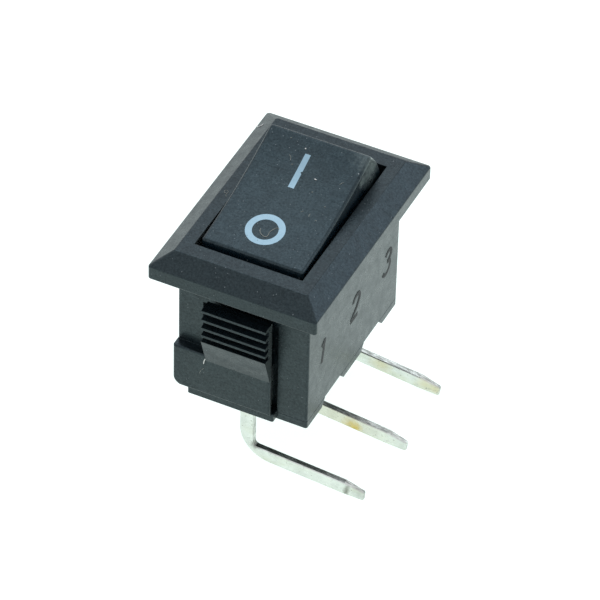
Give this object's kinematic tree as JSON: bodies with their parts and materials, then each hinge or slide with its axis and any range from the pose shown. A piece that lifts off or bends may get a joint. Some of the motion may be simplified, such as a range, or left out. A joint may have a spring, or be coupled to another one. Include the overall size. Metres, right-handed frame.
{
  "type": "rocker switch",
  "caption": "Miniature snap-in rocker switch with a bevelled bezel, ribbed side latches, a marked tilting rocker and right-angle solder pins.",
  "frame": {"origin": "middle of the bezel's underside, the plane that seats on the panel", "axes": "+Z out of the panel towards the finger, +Y towards the raised end of the rocker, +X towards the side that the pins bend to"},
  "size_m": [0.013, 0.015, 0.0177],
  "materials": {
    "black_plastic": "fine moulded satin",
    "black_base": "fine moulded satin",
    "black_rocker": "fine moulded satin",
    "mark_print": "pad-printed ink",
    "nylon": "natural nylon",
    "spring_steel": "drawn wire",
    "arm_copper": "rolled strip",
    "contact_silver": "silver rivet",
    "tinned_brass": "dull tin plate"
  },
  "bodies": {
    "housing": {"housing": "black_plastic", "base": "black_base", "terminal_1": "tinned_brass", "terminal_common": "tinned_brass", "terminal_3": "tinned_brass", "fixed_contact_1": "contact_silver", "fixed_contact_3": "contact_silver"},
    "rocker": {"rocker": "black_rocker", "spring": "spring_steel"},
    "plunger": {"plunger": "nylon"},
    "contact_arm": {"contact_arm": "arm_copper", "moving_contact_1": "contact_silver", "moving_contact_3": "contact_silver"}
  },
  "joints": [
    {"name": "rocker_tilt", "type": "hinge", "parent": "housing", "child": "rocker", "pos_m": [0, 0, -0.00015], "axis": [1, 0, 0], "range_deg": [-25, 0]},
    {"name": "arm_seesaw", "type": "hinge", "parent": "housing", "child": "contact_arm", "pos_m": [0, 0, -0.0052], "axis": [1, 0, 0], "range_deg": [0, 18]},
    {"name": "plunger_slide", "type": "slide", "parent": "rocker", "child": "plunger", "axis": [0, -0.2164, 0.9763], "range_m": [0, 0.0004], "stiffness_N_per_m": 800, "deforming": ["spring"]}
  ],
  "couplings": [
    {"joint": "arm_seesaw", "follows": "rocker_tilt", "ratio": -0.72}
  ]
}
